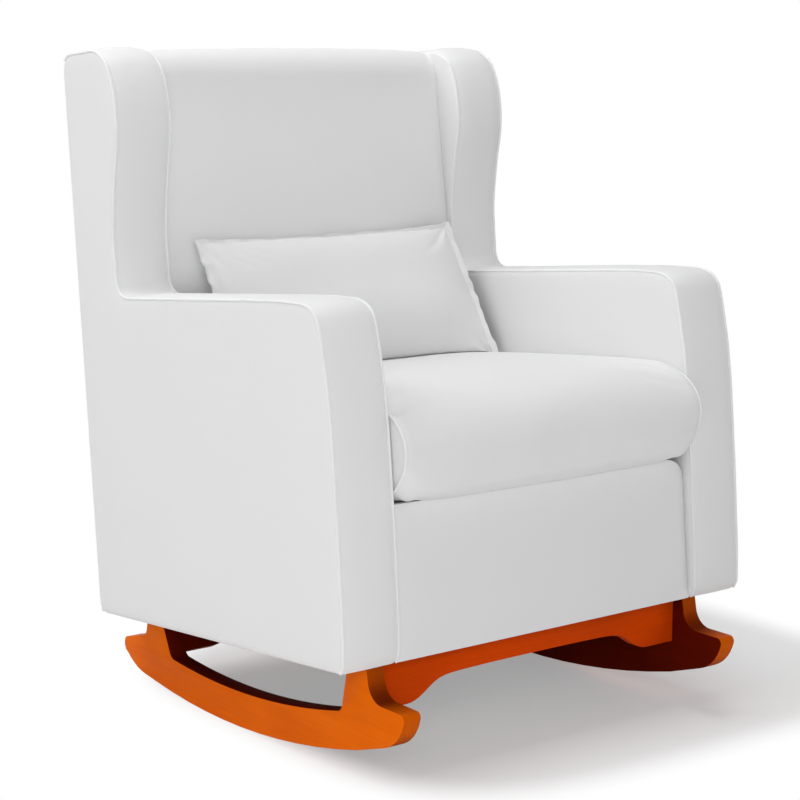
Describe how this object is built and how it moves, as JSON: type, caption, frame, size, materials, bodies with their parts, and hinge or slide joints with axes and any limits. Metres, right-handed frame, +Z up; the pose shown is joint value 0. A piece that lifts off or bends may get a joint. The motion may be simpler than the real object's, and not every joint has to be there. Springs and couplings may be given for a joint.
{
  "type": "nursing rocking chair",
  "caption": "Wing-back upholstered rocking chair on curved one-piece wooden rockers, with a loose wrapped seat cushion and a loose lumbar pillow.",
  "frame": {"origin": "on the floor, under the middle of the chair's plan", "axes": "+Z up, the chair faces -Y, +X runs to the right seen from the front"},
  "size_m": [0.74, 0.7836, 0.9877],
  "materials": {
    "lacquered_wood": "satin",
    "frame_timber": "matte",
    "upholstery_fabric": "matte",
    "welt_fabric": "matte",
    "deck_cloth": "matte",
    "foam": "matte",
    "webbing": "matte",
    "dust_cloth": "matte",
    "zip_tape": "matte",
    "zinc_steel": "satin"
  },
  "bodies": {
    "chair": {"left_rocker": "lacquered_wood", "right_rocker": "lacquered_wood", "front_crossrail": "lacquered_wood", "rear_crossrail": "lacquered_wood", "front_mounting_cleat": "frame_timber", "rear_mounting_cleat": "frame_timber", "crossrail_dowels": "frame_timber", "base_bolts": "zinc_steel", "base_tee_nuts": "zinc_steel", "left_front_post": "frame_timber", "right_front_post": "frame_timber", "left_side_rail": "frame_timber", "right_side_rail": "frame_timber", "left_arm_rail": "frame_timber", "right_arm_rail": "frame_timber", "left_wing_board": "frame_timber", "right_wing_board": "frame_timber", "left_rear_post": "frame_timber", "right_rear_post": "frame_timber", "front_seat_rail": "frame_timber", "rear_seat_rail": "frame_timber", "lower_back_rail": "frame_timber", "top_back_rail": "frame_timber", "outside_back_board": "frame_timber", "front_base_board": "frame_timber", "rear_base_board": "frame_timber", "corner_blocks": "frame_timber", "seat_webbing_lengthwise": "webbing", "seat_webbing_crosswise": "webbing", "back_webbing": "webbing", "left_side_foam": "foam", "right_side_foam": "foam", "left_outer_panel": "upholstery_fabric", "right_outer_panel": "upholstery_fabric", "left_border": "upholstery_fabric", "right_border": "upholstery_fabric", "left_inner_panel": "upholstery_fabric", "right_inner_panel": "upholstery_fabric", "left_outer_welt": "welt_fabric", "right_outer_welt": "welt_fabric", "left_inner_welt": "welt_fabric", "right_inner_welt": "welt_fabric", "front_panel": "upholstery_fabric", "seat_deck": "deck_cloth", "inside_back": "upholstery_fabric", "back_top_border": "upholstery_fabric", "outside_back": "upholstery_fabric", "dust_cover": "dust_cloth"},
    "seat_cushion": {"seat_cushion": "upholstery_fabric", "seat_cushion_welts": "welt_fabric", "seat_cushion_zip": "zip_tape"},
    "lumbar_pillow": {"lumbar_pillow": "upholstery_fabric", "lumbar_pillow_zip": "zip_tape"}
  },
  "joints": [
    {"name": "seat_cushion_out", "type": "slide", "parent": "chair", "child": "seat_cushion", "axis": [0, -0.996, 0.0889], "range_m": [0, 0.62]},
    {"name": "lumbar_pillow_out", "type": "slide", "parent": "chair", "child": "lumbar_pillow", "axis": [0, -0.5, 0.866], "range_m": [0, 0.45]}
  ]
}
